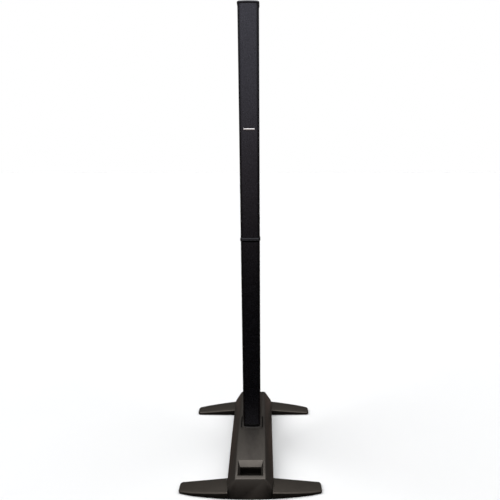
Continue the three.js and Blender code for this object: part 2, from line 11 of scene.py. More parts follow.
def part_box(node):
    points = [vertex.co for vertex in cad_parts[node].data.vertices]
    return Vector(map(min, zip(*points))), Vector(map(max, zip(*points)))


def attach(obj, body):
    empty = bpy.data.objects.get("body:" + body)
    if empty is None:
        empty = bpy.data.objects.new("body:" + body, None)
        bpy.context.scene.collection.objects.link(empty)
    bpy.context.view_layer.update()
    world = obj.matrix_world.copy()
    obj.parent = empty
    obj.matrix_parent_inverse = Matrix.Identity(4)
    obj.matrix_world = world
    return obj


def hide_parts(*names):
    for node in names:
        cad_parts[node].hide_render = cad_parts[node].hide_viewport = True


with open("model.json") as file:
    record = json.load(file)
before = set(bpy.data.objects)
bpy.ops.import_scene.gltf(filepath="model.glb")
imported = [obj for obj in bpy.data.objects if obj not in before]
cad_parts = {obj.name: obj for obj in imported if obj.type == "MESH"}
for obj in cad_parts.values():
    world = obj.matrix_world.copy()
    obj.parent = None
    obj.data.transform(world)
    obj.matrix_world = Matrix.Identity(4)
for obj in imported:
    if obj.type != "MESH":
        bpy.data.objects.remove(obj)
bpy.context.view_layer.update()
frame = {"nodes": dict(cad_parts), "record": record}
NODES = frame["nodes"]
BODY_OF = {n: b for b, ns in frame["record"]["behaviour"]["bodies"].items() for n in ns}
SLOT_OF = {s["node"]: s["material_slot"] for s in frame["record"]["subparts"]}
scene = bpy.context.scene
scene.view_settings.view_transform = "Standard"


# ------------------------------------------------------------------ materials
class Graph:
    """A node tree with short calls for the nodes used here.

    An input is given by its name, or by its number as i0, i1 and so on.
    """

    def __init__(self, tree):
        self.tree = tree
        self.tree.nodes.clear()

    def node(self, kind, **inputs):
        n = self.tree.nodes.new(kind)
        for key, value in inputs.items():
            by_number = key[0] == "i" and key[1:].isdigit()
            self.put(n, int(key[1:]) if by_number else key.replace("_", " "), value)
        return n

    def put(self, node, key, value):
        socket = node.inputs[key]
        if isinstance(value, bpy.types.NodeSocket):
            self.tree.links.new(value, socket)
        else:
            socket.default_value = value

    def math(self, op, a, b=0.0, c=0.0, clamp=False):
        n = self.node("ShaderNodeMath", i0=a, i1=b, i2=c)
        n.operation = op
        n.use_clamp = clamp
        return n.outputs[0]

    def vec(self, op, a, b=(0, 0, 0)):
        n = self.node("ShaderNodeVectorMath", i0=a, i1=b)
        n.operation = op
        return n.outputs["Value"] if op == "LENGTH" else n.outputs[0]

    def coords(self, kind="Object"):
        return self.node("ShaderNodeTexCoord").outputs[kind]

    def noise(self, scale, detail=3.0, roughness=0.5, stretch=None, where=None):
        where = self.coords() if where is None else where
        if stretch:
            where = self.vec("MULTIPLY", where, stretch)
        n = self.node("ShaderNodeTexNoise", Vector=where, Scale=scale, Detail=detail, Roughness=roughness)
        return n.outputs["Fac"]

    def span(self, value, a, b, lo, hi):
        """A map from a..b to lo..hi."""
        n = self.node("ShaderNodeMapRange", Value=value)
        for key, v in (("From Min", a), ("From Max", b), ("To Min", lo), ("To Max", hi)):
            n.inputs[key].default_value = v
        return n.outputs[0]

    def mix(self, factor, a, b):
        n = self.tree.nodes.new("ShaderNodeMix")
        n.data_type = "RGBA"
        self.put(n, 0, factor)
        for i, v in ((6, a), (7, b)):
            self.put(n, i, v if isinstance(v, bpy.types.NodeSocket) else (*v, 1.0))
        return n.outputs[2]

    def bump(self, height, strength, distance, normal=None):
        n = self.node("ShaderNodeBump", Height=height, Strength=strength, Distance=distance)
        if normal is not None:
            self.put(n, "Normal", normal)
        return n.outputs[0]

    def smooth(self, value, a, b, lo, hi):
        """The map that span makes, with soft ends."""
        mapped = self.span(value, a, b, lo, hi)
        mapped.node.interpolation_type = "SMOOTHSTEP"
        return mapped


class Finish(Graph):
    """A material with one Principled shader."""

    def __init__(self, name, **sockets):
        self.material = bpy.data.materials.new(name)
        self.material.use_nodes = True
        super().__init__(self.material.node_tree)
        out = self.tree.nodes.new("ShaderNodeOutputMaterial")
        self.bsdf = self.tree.nodes.new("ShaderNodeBsdfPrincipled")
        self.tree.links.new(self.bsdf.outputs[0], out.inputs[0])
        for key, value in sockets.items():
            self.bsdf.inputs[key.replace("_", " ")].default_value = value

    def set(self, **sockets):
        for key, value in sockets.items():
            self.put(self.bsdf, key.replace("_", " "), value)
        return self.material


def moulded(name, dark, light, rough=0.5, grain=1.0, worn=0.35, spec=0.5, tint=(1, 1, 1)):
    """Textured plastic moulding: cloudy tone, fine spark-eroded grain, edges lighter: rubbed wear, and where
    worn is set high, as on the socket rim, a painted highlight.
    """
    g = Finish(name)
    g.bsdf.inputs["Specular IOR Level"].default_value = spec
    g.bsdf.inputs["Specular Tint"].default_value = (*tint, 1)
    cloud = g.noise(7.0, 4.0, 0.55)
    grain_a = g.noise(1500.0, 2.0, 0.6)
    grain_b = g.noise(520.0, 3.0, 0.6)
    tone = g.span(cloud, 0.3, 0.7, 0.0, 1.0)
    colour = g.mix(tone, dark, light)
    fleck = g.span(grain_a, 0.35, 0.7, 0.0, 0.22)
    colour = g.mix(fleck, colour, tuple(min(1.0, c * 1.9 + 0.01) for c in light))
    # Lighter edges by Pointiness: rubbed wear, and a painted highlight where worn is large
    edge = g.span(g.node("ShaderNodeNewGeometry").outputs["Pointiness"], 0.52, 0.62, 0.0, worn)
    colour = g.mix(edge, colour, tuple(min(1.0, c * 2.0 + 0.015) for c in light))
    height = g.math("ADD", g.math("MULTIPLY", grain_a, 0.45), g.math("MULTIPLY", grain_b, 0.55))
    return g.set(
        Base_Color=colour,
        Roughness=g.span(g.noise(60.0, 3.0), 0.3, 0.7, rough - 0.05, rough + 0.06),
        Normal=g.bump(height, 0.22 * grain, 0.0006),
    )


def perforated(name, face, hole, pitch=0.0026, rough=0.42, spec=0.5, tint=(1, 1, 1), fold=0.04):
    """Perforated steel sheet with a powder coat, its holes in staggered rows in the UV plane, in metres.

    U is measured from the middle of the sheet; past the fold the sheet turns back and is duller.
    """
    g = Finish(name)
    g.bsdf.inputs["Specular IOR Level"].default_value = spec
    uv = g.coords("UV")
    cell = g.vec("MULTIPLY", uv, (1 / pitch, 1 / pitch, 0.0))

    def ring(at):
        centred = g.vec("SUBTRACT", g.vec("FRACTION", at), (0.5, 0.5, 0.0))
        return g.vec("LENGTH", g.vec("MULTIPLY", centred, (1.0, 1.0, 0.0)))

    nearest = g.math("MINIMUM", ring(cell), ring(g.vec("ADD", cell, (0.5, 0.5, 0.0))))
    solid = g.span(nearest, 0.18, 0.25, 0.0, 1.0)
    tone = g.span(g.noise(5.0, 3.0, stretch=(1, 1, 0.25)), 0.3, 0.7, 0.85, 1.2)
    pale, deep = tuple(c * 1.2 for c in face), tuple(c * 0.85 for c in face)
    coat = g.mix(g.span(tone, 0.85, 1.2, 0.0, 1.0), deep, pale)
    speck = g.noise(900.0, 2.0)
    height = g.math("ADD", solid, g.math("MULTIPLY", speck, 0.12))
    across = g.math("ABSOLUTE", g.node("ShaderNodeSeparateXYZ", Vector=uv).outputs["X"])
    flat = g.span(across, fold - 0.005, fold + 0.002, 1.0, 0.25)
    return g.set(
        Specular_Tint=g.mix(g.math("MULTIPLY", solid, flat), (0.0, 0.0, 0.0), tint),
        Base_Color=g.mix(solid, hole, coat),
        Roughness=g.math("ADD", g.span(solid, 0.0, 1.0, 0.9, rough), g.math("MULTIPLY", g.noise(35.0), 0.08)),
        Normal=g.bump(height, 0.12, 0.0003),
    )


def metal(name, colour, rough=0.3, along=(1, 1, 40), scale=60.0):
    """Brushed bare metal; the brushing runs across the stretched axis."""
    g = Finish(name, Metallic=1.0)
    brush = g.noise(scale, 5.0, 0.65, stretch=along)
    return g.set(
        Base_Color=g.mix(g.span(brush, 0.3, 0.7, 0.0, 1.0), tuple(c * 0.82 for c in colour), colour),
        Roughness=g.span(brush, 0.3, 0.7, rough - 0.06, rough + 0.12),
        Normal=g.bump(brush, 0.12, 0.0002),
    )


def gloss(name, colour, rough=0.22):
    """Polished moulding with smears and a little dust."""
    g = Finish(name)
    smear = g.noise(24.0, 4.0, 0.6)
    dust = g.span(g.noise(700.0, 2.0), 0.62, 0.8, 0.0, 0.25)
    body = g.mix(smear, tuple(c * 0.8 for c in colour), tuple(c * 1.3 for c in colour))
    return g.set(
        Base_Color=g.mix(dust, body, (0.09, 0.09, 0.088)),
        Roughness=g.span(smear, 0.3, 0.7, rough - 0.06, rough + 0.1),
        Normal=g.bump(g.noise(180.0, 2.0), 0.05, 0.0003),
    )


def rubber(name, colour):
    """Matt rubber with chalky patches."""
    g = Finish(name)
    fine = g.noise(800.0, 3.0, 0.7)
    chalk = g.span(g.noise(30.0, 4.0), 0.45, 0.75, 0.0, 0.35)
    return g.set(
        Base_Color=g.mix(chalk, colour, tuple(c * 2.2 + 0.01 for c in colour)),
        Roughness=g.span(fine, 0.3, 0.7, 0.75, 0.92),
        Normal=g.bump(fine, 0.4, 0.0004),
    )


def board(name):
    """Lacquered circuit board with tracks in it."""
    g = Finish(name)
    traces = g.node("ShaderNodeTexVoronoi", Vector=g.coords(), Scale=160.0)
    traces.distance = "MANHATTAN"
    line = g.span(traces.outputs["Distance"], 0.28, 0.36, 0.0, 1.0)
    return g.set(
        Base_Color=g.mix(line, (0.012, 0.07, 0.026), (0.02, 0.115, 0.04)),
        Roughness=g.span(line, 0, 1, 0.3, 0.45),
        Normal=g.bump(line, 0.2, 0.0002),
    )


def cone(name):
    """Pressed paper of a driver's cone."""
    g = Finish(name)
    fibre = g.noise(320.0, 5.0, 0.75)
    return g.set(
        Base_Color=g.mix(fibre, (0.006, 0.006, 0.007), (0.022, 0.022, 0.024)),
        Roughness=g.span(fibre, 0.3, 0.7, 0.8, 0.95),
        Normal=g.bump(fibre, 0.4, 0.0005),
    )


def felt(name, colour):
    """Matt black sheet with a short nap; in the slots beside the column it is painted shade."""
    g = Finish(name)
    g.bsdf.inputs["Specular IOR Level"].default_value = 0.05
    nap = g.noise(1200.0, 4.0, 0.7)
    return g.set(
        Base_Color=g.mix(nap, tuple(c * 0.6 for c in colour), tuple(c * 1.4 for c in colour)),
        Roughness=g.span(nap, 0.3, 0.7, 0.9, 1.0),
        Normal=g.bump(nap, 0.3, 0.0003),
    )


def ink(name, colour):
    """Screen-printed marking ink, worn thin in places."""
    g = Finish(name)
    wear = g.span(g.noise(400.0, 4.0, 0.7), 0.55, 0.8, 0.0, 0.35)
    return g.set(
        Base_Color=g.mix(wear, colour, tuple(c * 0.5 for c in colour)),
        Roughness=g.span(wear, 0.0, 0.35, 0.45, 0.65),
        Normal=g.bump(g.noise(900.0, 2.0), 0.1, 0.0001),
    )


# Matt black sheets put in the slots beside the column: painted shade
SLOT_SHADE_FINISH = felt("slot_painted_shade", (0.0012, 0.0012, 0.0013))
INK = ink("marking_ink", (0.62, 0.62, 0.60))
BRASS = metal("contact_brass", (0.72, 0.55, 0.26), rough=0.28)

MATERIALS = {
    "shell": moulded(
        "shell_moulding", (0.0080, 0.0068, 0.0056), (0.0108, 0.0094, 0.0078),
        rough=0.33, spec=0.37, tint=(1, 0.92, 0.85)),
    "leg": moulded(
        "leg_moulding", (0.0062, 0.0052, 0.0042), (0.0084, 0.0071, 0.0058),
        rough=0.48, spec=0.38, tint=(1, 0.9, 0.8)),
    "housing": moulded(
        "housing_moulding", (0.0016, 0.0016, 0.0019), (0.0024, 0.0024, 0.0029),
        rough=0.3, grain=0.4, worn=0.1, spec=0.45, tint=(0.86, 0.87, 1)),
    "grille": perforated(
        "grille_sheet", (0.0022, 0.0022, 0.0027), (0.0005, 0.0005, 0.0006),
        rough=0.23, spec=1.0, tint=(0.80, 0.81, 1), fold=0.0375),
    "rubber": rubber("pad_rubber", (0.012, 0.012, 0.012)),
    "steel": metal("plain_steel", (0.62, 0.63, 0.65)),
    "panel": moulded("panel_coat", (0.010, 0.010, 0.011), (0.016, 0.016, 0.017), rough=0.42, grain=0.8),
    "gloss": gloss("socket_gloss", (0.012, 0.012, 0.013)),
    "badge": metal("badge_metal", (0.86, 0.86, 0.88), rough=0.22, along=(40, 1, 1), scale=30.0),
    "board": board("circuit_board"),
    "supply": metal("supply_case", (0.5, 0.51, 0.52), rough=0.4),
    "cone": cone("driver_cone"),
}


# ------------------------------------------------------------------ mesh helpers
def finish_mesh(obj, angle=35.0):
    """Smooth shading, with the edges sharper than the angle left crisp."""
    for p in obj.data.polygons:
        p.use_smooth = True
    chosen = [obj]
    with bpy.context.temp_override(
            object=obj, active_object=obj, selected_objects=chosen, selected_editable_objects=chosen):
        bpy.ops.object.shade_smooth_by_angle(angle=math.radians(angle))


def apply_modifiers(obj):
    """Keeps the mesh that the modifiers make, and drops them."""
    depsgraph = bpy.context.evaluated_depsgraph_get()
    done = bpy.data.meshes.new_from_object(obj.evaluated_get(depsgraph))
    obj.modifiers.clear()
    old = obj.data
    obj.data = done
    bpy.data.meshes.remove(old)


def place(obj, nodes, body=None, slot=None):
    """Material, body, the CAD nodes it stands for, and its slot."""
    nodes = [nodes] if isinstance(nodes, str) else list(nodes)
    slot = slot or SLOT_OF[nodes[0]]
    obj.data.materials.clear()
    obj.data.materials.append(MATERIALS[slot])
    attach(obj, body or BODY_OF[nodes[0]])
    if nodes:
        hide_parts(*nodes)
    return obj


def add(name, bm):
    """A new object in the scene from a bmesh."""
    mesh = bpy.data.meshes.new(name)
    bmesh.ops.recalc_face_normals(bm, faces=bm.faces)
    bm.to_mesh(mesh)
    bm.free()
    obj = bpy.data.objects.new(name, mesh)
    scene.collection.objects.link(obj)
    return obj


def refine(node, width, segments=3, angle=25.0, flat=0.6, smooth=38.0):
    """The CAD piece again, with its flat faces merged and its edges rounded."""
    bm = bmesh.new()
    bm.from_mesh(NODES[node].data)
    bmesh.ops.remove_doubles(bm, verts=bm.verts, dist=2e-6)
    bmesh.ops.dissolve_limit(
        bm, angle_limit=math.radians(flat), verts=bm.verts, edges=bm.edges, use_dissolve_boundaries=False)
    obj = add(node + "_look", bm)
    bevel = obj.modifiers.new("bevel", "BEVEL")
    bevel.width = width
    bevel.segments = segments
    bevel.limit_method = "ANGLE"
    bevel.angle_limit = math.radians(angle)
    bevel.harden_normals = False
    bevel.use_clamp_overlap = True
    apply_modifiers(obj)
    finish_mesh(obj, smooth)
    return place(obj, node)


# ------------------------------------------------------------------ the base
refine("base_shell", 0.0016, 3, angle=24.0, flat=1.2)
refine("deck_plate", 0.0008, 2)
socket = refine("column_socket", 0.0012, 3)
# The rim is painted lighter, with strongly lightened edges: a painted highlight on its rounded edge
socket.data.materials[0] = moulded(
    "socket_rim_painted_highlight", (0.018, 0.016, 0.0145), (0.024, 0.0215, 0.0195), rough=0.3, worn=0.6, spec=0.6)
refine("base_bottom_plate", 0.0003, 1)
for side in ("front_left", "front_right", "rear_left", "rear_right"):
    refine("leg_" + side, 0.0014, 3, flat=0.8)
    refine("pad_" + side, 0.0006, 2)
    refine("pin_" + side, 0.0004, 2)
for node in ("connector_panel", "mains_inlet", "power_rocker", "combo_input_1", "combo_input_2",
             "speaker_output", "line_output", "trim_knob_1", "trim_knob_2"):
    refine(node, 0.0003, 2)


# ------------------------------------------------------------------ the column
COLUMN_DEPTH = 0.050  # from the column's axis to its front and to its back
COLUMN_CORNER = 0.012
GRILLE_CORNER = 0.009
BOW = 0.003  # the front stands this far back at its sides
WALL = 0.0024
SKIN = 0.0016
CHEEK_FRONT = -0.0385
BAFFLE_FRONT = -0.0345

housing_lo, housing_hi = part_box("lower_housing")
grille_lo, grille_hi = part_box("lower_grille")
HALF = (housing_hi.x - housing_lo.x) / 2
COLUMN_Y = grille_lo.y + COLUMN_DEPTH
BAFFLE = grille_hi.y - COLUMN_Y


def front_curve(half, front, corner, bulge, steps=12, flats=24):
    """Front of the outline from the +X side to the -X side: rounded corner, gentle bow, rounded corner."""
    deep = corner - 0.001
    pts = []
    for i in range(steps + 1):
        a = i / steps * math.pi / 2
        pts.append((half - corner + corner * math.cos(a), front + bulge + deep * (1 - math.sin(a))))
    flat = half - corner
    for i in range(1, flats):
        x = flat * (1 - 2 * i / flats)
        pts.append((x, front + bulge * (x / flat) ** 2))
    return pts + [(-x, y) for x, y in reversed(pts[: steps + 1])]


def rounded(points, steps=4, share=0.35):
    """Rounds each corner of an open run of points, keeping its ends."""
    out = [points[0]]
    for a, b, c in zip(points, points[1:], points[2:]):
        a, b, c = Vector(a), Vector(b), Vector(c)
        p, q = b.lerp(a, share), b.lerp(c, share)
        for i in range(steps + 1):
            t = i / steps
            v = p * (1 - t) ** 2 + b * 2 * t * (1 - t) + q * t * t
            out.append((v.x, v.y))
    return out + [points[-1]]


def back_run(half, back):
    """Back of the outline from the -X side to the +X side."""
    left = [(-half, -0.008), (-half, 0.008), (-half + 0.005, 0.032)]
    left += [(-half + 0.017, back - 0.004), (-half + 0.027, back)]
    return left + [(-x, y) for x, y in reversed(left)]


def column_ring(grow, front=None):
    """The column's outline grown all round, and grown by another amount at the front if one is given."""
    half = HALF + grow
    front = grow if front is None else front
    pts = front_curve(half, -COLUMN_DEPTH - front, COLUMN_CORNER + grow, BOW)
    pts += rounded(back_run(half, COLUMN_DEPTH + grow))
    return [(x, y + COLUMN_Y) for x, y in pts]


def loft(name, rings, closed=True):
    """Skins a list of rings of equal length; closes the first and last with a face."""
    bm = bmesh.new()
    rows = [[bm.verts.new(p) for p in ring] for ring in rings]
    n = len(rows[0])
    for a, b in zip(rows, rows[1:]):
        for i in range(n if closed else n - 1):
            j = (i + 1) % n
            bm.faces.new((a[i], a[j], b[j], b[i]))
    if closed:
        bm.faces.new(list(reversed(rows[0])))
        bm.faces.new(rows[-1])
    return add(name, bm)


def column_loft(name, profile, front_extra=0.0):
    """A closed body of the column's outline; each step of the profile is how far it grows, and its height."""
    return loft(name, [[(x, y, z) for x, y in column_ring(g, g + front_extra)] for g, z in profile])


def eased(z0, g0, z1, g1, steps=6):
    """A quarter-round between two heights of a column profile: rises in z first, then turns in."""
    return [(g0 + (g1 - g0) * (1 - math.cos(t * math.pi / 2)), z0 + (z1 - z0) * math.sin(t * math.pi / 2))
            for t in [i / steps for i in range(1, steps + 1)]]


def join(target, others):
    """Puts the other meshes into the target."""
    bm = bmesh.new()
    for o in [target, *others]:
        bm.from_mesh(o.data)
    bm.to_mesh(target.data)
    bm.free()
    for o in others:
        bpy.data.objects.remove(o)
    return target


def block(name, x0, x1, y0, y1, z0, z1, bevel=0.0015):
    """A box with rounded edges."""
    bm = bmesh.new()
    bmesh.ops.create_cube(bm, size=1.0)
    for v in bm.verts:
        v.co = Vector((x0 if v.co.x < 0 else x1, y0 if v.co.y < 0 else y1, z0 if v.co.z < 0 else z1))
    bmesh.ops.bevel(bm, geom=bm.edges[:], offset=bevel, segments=3, affect="EDGES", profile=0.5)
    return add(name, bm)


def cut_out(obj, cutter):
    """Takes the cutter's shape out of a piece."""
    boolean = obj.modifiers.new("cut", "BOOLEAN")
    boolean.operation = "DIFFERENCE"
    boolean.solver = "EXACT"
    boolean.object = cutter
    apply_modifiers(obj)
    bpy.data.objects.remove(cutter)


# Foot with its plug
PLUG_DEPTH = 0.058
PLUG_HALF = 0.031
PLUG_LONG = 0.033
GAP = 0.0003
FOOT_INSET = -0.0035
FOOT_FRONT_EXTRA = 0.0030
FOOT_EASE = 0.0008

plug_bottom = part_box("lower_foot_plug")[0].z
foot_bottom = plug_bottom + PLUG_DEPTH
foot_top = housing_lo.z - GAP
foot_profile = [
    (FOOT_INSET - FOOT_EASE, foot_bottom),
    (FOOT_INSET, foot_bottom + FOOT_EASE),
    (FOOT_INSET, foot_top - FOOT_EASE),
    (FOOT_INSET - FOOT_EASE, foot_top),
]
foot = column_loft("lower_foot", foot_profile, FOOT_FRONT_EXTRA)
plug = block("plug", -PLUG_HALF, PLUG_HALF, COLUMN_Y - PLUG_LONG, COLUMN_Y + PLUG_LONG,
             plug_bottom, foot_bottom + 0.002, 0.003)
join(foot, [plug])
finish_mesh(foot, 40)
place(foot, "lower_foot_plug")
# The foot takes a darker moulding than the housing: painted shade for the shadowed gap around the column's
# foot
foot.data.materials[0] = moulded(
    "foot_painted_shade", (0.0010, 0.0010, 0.0012), (0.0016, 0.0016, 0.0019),
    rough=0.45, grain=0.4, worn=0.05, spec=0.12)

# Collar halves, head of the lower section and foot ring of the upper one
TONGUE_HALF = 0.026
TONGUE_LONG = 0.028
TONGUE_TALL = 0.030
TONGUE_GAP = 0.0004
joint_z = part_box("lower_head")[1].z - TONGUE_TALL


def collar_profile(far, seam, grow=0.0023, ease=0.0012):
    """One half of the bulge: it flares from its far end towards the seam and rounds over just before it."""
    turn = math.copysign(ease, far - seam)
    start = 0.0002
    steps = 8
    profile = []
    for i in range(steps + 1):
        t = min(1.0, i / steps * 1.25)
        profile.append((start + (grow - start) * t * t * (3 - 2 * t), far + (seam + turn - far) * i / steps))
    for i in range(1, 5):
        a = i / 4 * math.pi / 2
        profile.append((grow - 0.0008 * (1 - math.cos(a)), seam + turn * (1 - math.sin(a))))
    return profile


lower_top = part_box("lower_housing")[1].z
upper_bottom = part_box("upper_housing")[0].z
head = column_loft("lower_head_look", collar_profile(lower_top + GAP, joint_z))
tongue = block("tongue", -TONGUE_HALF, TONGUE_HALF, COLUMN_Y - TONGUE_LONG, COLUMN_Y + TONGUE_LONG,
               joint_z - 0.002, joint_z + TONGUE_TALL, 0.003)
join(head, [tongue])
finish_mesh(head, 40)
place(head, "lower_head")


def tongue_opening(z0, z1):
    """A cutter a little larger than the tongue."""
    x, y = TONGUE_HALF + TONGUE_GAP, TONGUE_LONG + TONGUE_GAP
    return block("opening", -x, x, COLUMN_Y - y, COLUMN_Y + y, z0, z1, 0.0025)


ring = column_loft("upper_foot_ring_look", collar_profile(upper_bottom - GAP, joint_z + GAP))
cut_out(ring, tongue_opening(joint_z - 0.010, upper_bottom + 0.010))
finish_mesh(ring, 40)
place(ring, "upper_foot_ring")

# End cap: flared skirt under a shallow dome, whose rings are drawn in towards the middle
CAP_TALL = 0.012
CAP_START, CAP_FLARE, CAP_SIDE = 0.0004, 0.0019, 0.0018
FLARE_TALL = 0.003
SHOULDER_DROP = 0.0065
DOME_INSET, DOME_DROP = -0.006, 0.0012
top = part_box("upper_end_cap")[1].z
skirt, shoulder = top - CAP_TALL, top - SHOULDER_DROP
cap_profile = [(CAP_START, skirt)] + eased(skirt, CAP_START, skirt + FLARE_TALL, CAP_FLARE)
cap_profile += [(CAP_SIDE, shoulder)] + eased(shoulder, CAP_SIDE, top - DOME_DROP, DOME_INSET)
cap_rings = [[(x, y, z) for x, y in column_ring(g)] for g, z in cap_profile]
dome_edge = column_ring(DOME_INSET)
for share, drop in ((0.86, 0.0006), (0.68, 0.0002), (0.45, 0.0)):
    cap_rings.append([(x * share, COLUMN_Y + (y - COLUMN_Y) * share, top - drop) for x, y in dome_edge])
cap = loft("upper_end_cap_look", cap_rings)
finish_mesh(cap, 50)
place(cap, "upper_end_cap")


def housing(name):
    """Housing with cheeks beside the grille, closed across the front by the baffle."""
    lo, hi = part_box(name)
    w, t, front = HALF, WALL, CHEEK_FRONT
    cheek = [(w - t, front), (w - 0.0009, front + 0.0003), (w, front + 0.0022), (w, -0.008), (w, 0.008)]
    outer = rounded(cheek, 3, 0.45)
    back = rounded(back_run(w, COLUMN_DEPTH))
    left = [(-x, y) for x, y in outer]
    outline = [(-(w - t), BAFFLE_FRONT), *left, *back, *reversed(outer), (w - t, BAFFLE_FRONT)]
    pts = []
    for x, y in outline:
        if not pts or (Vector((x, y)) - Vector(pts[-1])).length > 1e-4:
            pts.append((x, y))
    bevels = [(0.0006, lo.z), (0.0, lo.z + 0.0006), (0.0, hi.z - 0.0006), (0.0006, hi.z)]
    rings = []
    for inset, z in bevels:
        across, along = 1 - inset / HALF, 1 - inset / COLUMN_DEPTH
        rings.append([(x * across, y * along + COLUMN_Y, z) for x, y in pts])
    obj = loft(name + "_look", rings)
    if name == "upper_housing":
        cut_out(obj, tongue_opening(lo.z - 0.010, joint_z + TONGUE_TALL + 0.001))
    finish_mesh(obj, 40)
    return place(obj, name)


housing("lower_housing")
housing("upper_housing")


def grille(name):
    """Thin bowed sheet with returned edges and a UV map in metres of arc and height."""
    lo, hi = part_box(name)
    half = (hi.x - lo.x) / 2
    outer = front_curve(half, -COLUMN_DEPTH, GRILLE_CORNER, BOW, 10, 28)
    outer = [(half, BAFFLE)] + outer + [(-half, BAFFLE)]
    inner = front_curve(half - SKIN, -COLUMN_DEPTH + SKIN, GRILLE_CORNER - SKIN, BOW, 10, 28)
    inner = [(half - SKIN, BAFFLE)] + inner + [(-half + SKIN, BAFFLE)]
    ring = outer + list(reversed(inner))
    arc, total = [0.0], 0.0
    for a, b in zip(ring, ring[1:] + ring[:1]):
        total += (Vector(a) - Vector(b)).length
        arc.append(total)
    middle = arc[len(outer) - 1] / 2
    arc = [a - middle for a in arc]
    bm = bmesh.new()
    uv = bm.loops.layers.uv.new("sheet")
    rows = 24
    zs = [lo.z + (hi.z - lo.z) * i / rows for i in range(rows + 1)]
    grid = [[bm.verts.new((x, y + COLUMN_Y, z)) for x, y in ring] for z in zs]
    n = len(ring)
    for r in range(rows):
        for i in range(n):
            j = (i + 1) % n
            f = bm.faces.new((grid[r][i], grid[r][j], grid[r + 1][j], grid[r + 1][i]))
            corners = ((arc[i], zs[r]), (arc[i + 1], zs[r]), (arc[i + 1], zs[r + 1]), (arc[i], zs[r + 1]))
            for loop, spot in zip(f.loops, corners):
                loop[uv].uv = spot
    for r in (0, rows):
        half_n = len(outer)
        for i in range(half_n - 1):
            a, b = i, i + 1
            c, d = n - 2 - i, n - 1 - i
            quad = (grid[r][a], grid[r][b], grid[r][c], grid[r][d])
            bm.faces.new(quad if r else tuple(reversed(quad)))
    obj = add(name + "_look", bm)
    finish_mesh(obj, 40)
    return place(obj, name)


grille("lower_grille")
grille("upper_grille")

# Badge: a blank bar that follows the bow of the grille
refine("badge", 0.0004, 2)


# ------------------------------------------------------------------ small pieces that are only in the looks
def extra(obj, body, finish, smooth=35.0):
    """Gives a small piece its finish and the body it rides on."""
    obj.data.materials.clear()
    obj.data.materials.append(finish)
    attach(obj, body)
    finish_mesh(obj, smooth)
    return obj


def circle(radius, z, count=24):
    return [(radius * math.cos(2 * math.pi * i / count), radius * math.sin(2 * math.pi * i / count), z)
            for i in range(count)]


def moved(obj, at, out):
    """Turns a piece built on the XY plane so that its +Z is out, and sets it down at a point."""
    obj.data.transform(Matrix.Translation(at) @ out.to_track_quat("Z", "Y").to_matrix().to_4x4())
    return obj


def screws(name, body, places, radius=0.0026, tall=0.0010):
    """Pan head screws with a cross recess, each at a point and facing out."""
    heads = []
    for at, out in places:
        rings = [circle(radius, -0.0002), circle(radius, 0.35 * tall), circle(0.86 * radius, 0.75 * tall),
                 circle(0.55 * radius, tall)]
        head = loft("head", rings)
        arm, half = 0.52 * radius, 0.13 * radius
        for x, y in ((arm, half), (half, arm)):
            cut_out(head, block("cross", -x, x, -y, y, 0.35 * tall, 2 * tall, 0.00002))
        heads.append(moved(head, at, out))
    return extra(join(heads[0], heads[1:]), body, MATERIALS["steel"], 30.0)


def surface(node, start, direction):
    """The point and the normal where a straight line first meets a CAD piece."""
    mesh = NODES[node].data
    tree = BVHTree.FromPolygons([v.co for v in mesh.vertices], [tuple(f.vertices) for f in mesh.polygons])
    return tree.ray_cast(start, direction)[:2]


# Dark sheets in the two slots beside the column: painted shade for the shadow down in the slots
SLOT_SHADE_GAP, SLOT_SHADE_WIDTH = 0.0002, 0.0045
SLOT_SHADE_FRONT, SLOT_SHADE_REAR = -0.0465, 0.0385  # from the column's axis
SLOT_SHADE_BOTTOM, SLOT_SHADE_TOP = -0.0074, -0.0012  # from the top of the deck
deck_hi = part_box("deck_plate")[1]
slot_shade_inner = deck_hi.x + SLOT_SHADE_GAP
slot_shade_outer = slot_shade_inner + SLOT_SHADE_WIDTH
for name, sign in (("slot_lining_left", -1), ("slot_lining_right", 1)):
    x0, x1 = sorted((sign * slot_shade_inner, sign * slot_shade_outer))
    slot_shade_block = block(name, x0, x1, COLUMN_Y + SLOT_SHADE_FRONT, COLUMN_Y + SLOT_SHADE_REAR,
                   deck_hi.z + SLOT_SHADE_BOTTOM, deck_hi.z + SLOT_SHADE_TOP, 0.0004)
    extra(slot_shade_block, "base", SLOT_SHADE_FINISH)

# The plane of the connector panel: X to the right seen from behind, Y up the slope, Z out
panel_mesh = NODES["connector_panel"].data
panel_face = max((f for f in panel_mesh.polygons if f.normal.y > 0.5), key=lambda f: f.area)
panel_out = panel_face.normal.normalized()
panel_right = Vector((-1.0, 0.0, 0.0))
panel_up = panel_out.cross(panel_right)
panel_lo, panel_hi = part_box("connector_panel")
panel_middle = (panel_lo + panel_hi) / 2
panel_middle += panel_out * panel_out.dot(panel_face.center - panel_middle)
PANEL = Matrix.Translation(panel_middle) @ Matrix((panel_right, panel_up, panel_out)).transposed().to_4x4()


def panel_point(x, y, z=0.0):
    """A point given in the plane of the panel and out from it."""
    return PANEL @ Vector((x, y, z))


def panel_place(node):
    """Where the axis of a fitting stands on the panel."""
    lo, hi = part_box(node)
    away = (lo + hi) / 2 - panel_middle
    return away.dot(panel_right), away.dot(panel_up)


def print_on_panel(name, marks, finish, body="base"):
    """Joins marks built in the plane of the panel and lays them on it."""
    obj = join(marks[0], marks[1:])
    obj.data.transform(PANEL)
    return extra(obj, body, finish)


def disc(x, y, radius, z0, z1, count=20):
    """A short post on the XY plane."""
    ring = [circle(radius, z, count) for z in (z0, z1)]
    return loft("disc", [[(x + a, y + b, z) for a, b, z in r] for r in ring])


